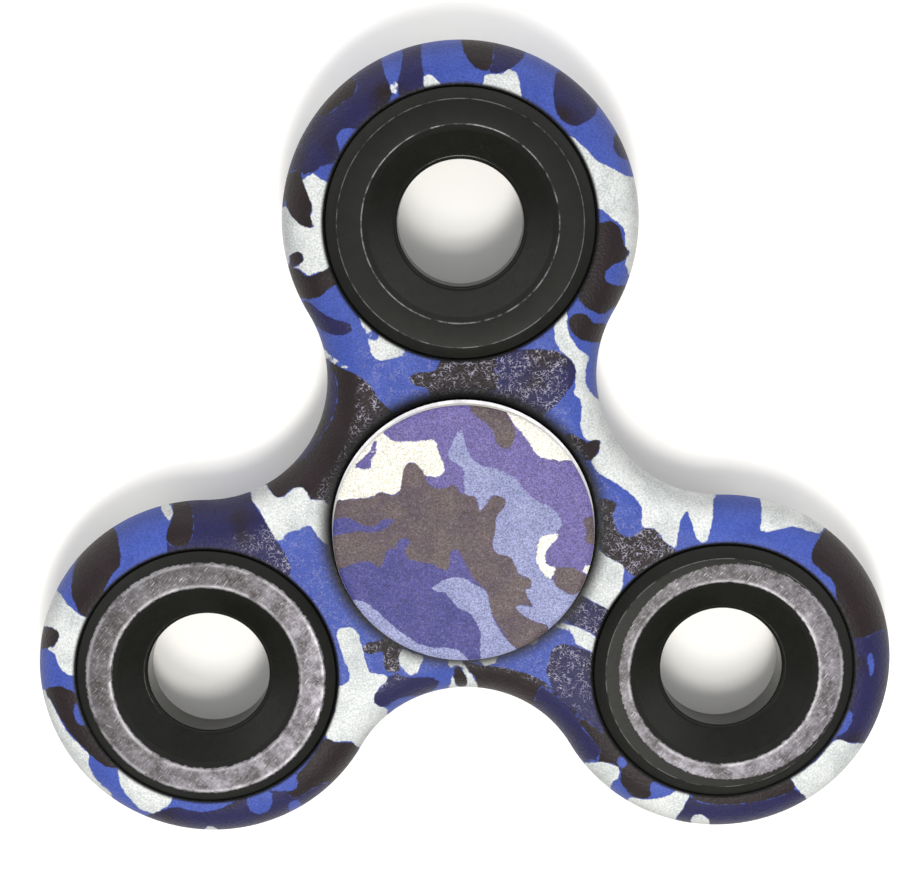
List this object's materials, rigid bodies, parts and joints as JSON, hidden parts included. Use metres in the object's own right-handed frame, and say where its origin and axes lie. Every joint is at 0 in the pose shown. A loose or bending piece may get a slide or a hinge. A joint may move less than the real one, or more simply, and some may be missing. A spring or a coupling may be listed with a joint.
{
  "type": "fidget spinner",
  "caption": "Hand spinner with a camouflage-printed three-lobed body on a central ball bearing, a ring weight in each lobe and a finger cap on each side.",
  "frame": {"origin": "middle of the bearing, on the spin axis, halfway through the body's thickness", "axes": "+Z along the spin axis towards the front cap, +Y towards the top lobe, +X to the right seen from the front"},
  "size_m": [0.0736, 0.0677, 0.0104],
  "materials": {
    "body_print": "moulded ABS with a water-transfer camouflage print, fine grain",
    "cap_print": "white moulded ABS with a water-transfer camouflage print on its face",
    "weight_black": "black coating over steel, worn bright on the raised lands",
    "race_steel": "ground bearing steel",
    "ball_steel": "polished bearing steel",
    "cage_steel": "pressed steel strip",
    "shield_steel": "pressed steel sheet",
    "wire_steel": "spring wire"
  },
  "bodies": {
    "hub": {"inner_race": "race_steel", "cap_front": "cap_print", "cap_back": "cap_print"},
    "rotor": {"body": "body_print", "weight_top": "weight_black", "weight_left": "weight_black", "weight_right": "weight_black", "outer_race": "race_steel", "shield_front": "shield_steel", "shield_back": "shield_steel", "snap_ring_front": "wire_steel", "snap_ring_back": "wire_steel"},
    "cage": {"cage_upper": "cage_steel", "cage_lower": "cage_steel", "cage_rivets": "cage_steel"},
    "rolling_ball_1": {"ball_1": "ball_steel"},
    "rolling_ball_2": {"ball_2": "ball_steel"},
    "rolling_ball_3": {"ball_3": "ball_steel"},
    "rolling_ball_4": {"ball_4": "ball_steel"},
    "rolling_ball_5": {"ball_5": "ball_steel"},
    "rolling_ball_6": {"ball_6": "ball_steel"},
    "rolling_ball_7": {"ball_7": "ball_steel"}
  },
  "joints": [
    {"name": "spin", "type": "hinge", "parent": "hub", "child": "rotor", "pos_m": [0, 0, 0], "axis": [0, 0, 1], "continuous": true},
    {"name": "cage_turn", "type": "hinge", "parent": "hub", "child": "cage", "pos_m": [0, 0, 0], "axis": [0, 0, 1], "continuous": true},
    {"name": "ball_1_roll", "type": "hinge", "parent": "cage", "child": "rolling_ball_1", "pos_m": [0, 0.0075, 0], "axis": [0, 0, 1], "continuous": true},
    {"name": "ball_2_roll", "type": "hinge", "parent": "cage", "child": "rolling_ball_2", "pos_m": [-0.00586, 0.00468, 0], "axis": [0, 0, 1], "continuous": true},
    {"name": "ball_3_roll", "type": "hinge", "parent": "cage", "child": "rolling_ball_3", "pos_m": [-0.00731, -0.00167, 0], "axis": [0, 0, 1], "continuous": true},
    {"name": "ball_4_roll", "type": "hinge", "parent": "cage", "child": "rolling_ball_4", "pos_m": [-0.00325, -0.00676, 0], "axis": [0, 0, 1], "continuous": true},
    {"name": "ball_5_roll", "type": "hinge", "parent": "cage", "child": "rolling_ball_5", "pos_m": [0.00325, -0.00676, 0], "axis": [0, 0, 1], "continuous": true},
    {"name": "ball_6_roll", "type": "hinge", "parent": "cage", "child": "rolling_ball_6", "pos_m": [0.00731, -0.00167, 0], "axis": [0, 0, 1], "continuous": true},
    {"name": "ball_7_roll", "type": "hinge", "parent": "cage", "child": "rolling_ball_7", "pos_m": [0.00586, 0.00468, 0], "axis": [0, 0, 1], "continuous": true}
  ],
  "couplings": [
    {"joint": "cage_turn", "follows": "spin", "ratio": 0.6323},
    {"joint": "ball_1_roll", "follows": "spin", "ratio": 1.7573},
    {"joint": "ball_2_roll", "follows": "spin", "ratio": 1.7573},
    {"joint": "ball_3_roll", "follows": "spin", "ratio": 1.7573},
    {"joint": "ball_4_roll", "follows": "spin", "ratio": 1.7573},
    {"joint": "ball_5_roll", "follows": "spin", "ratio": 1.7573},
    {"joint": "ball_6_roll", "follows": "spin", "ratio": 1.7573},
    {"joint": "ball_7_roll", "follows": "spin", "ratio": 1.7573}
  ]
}
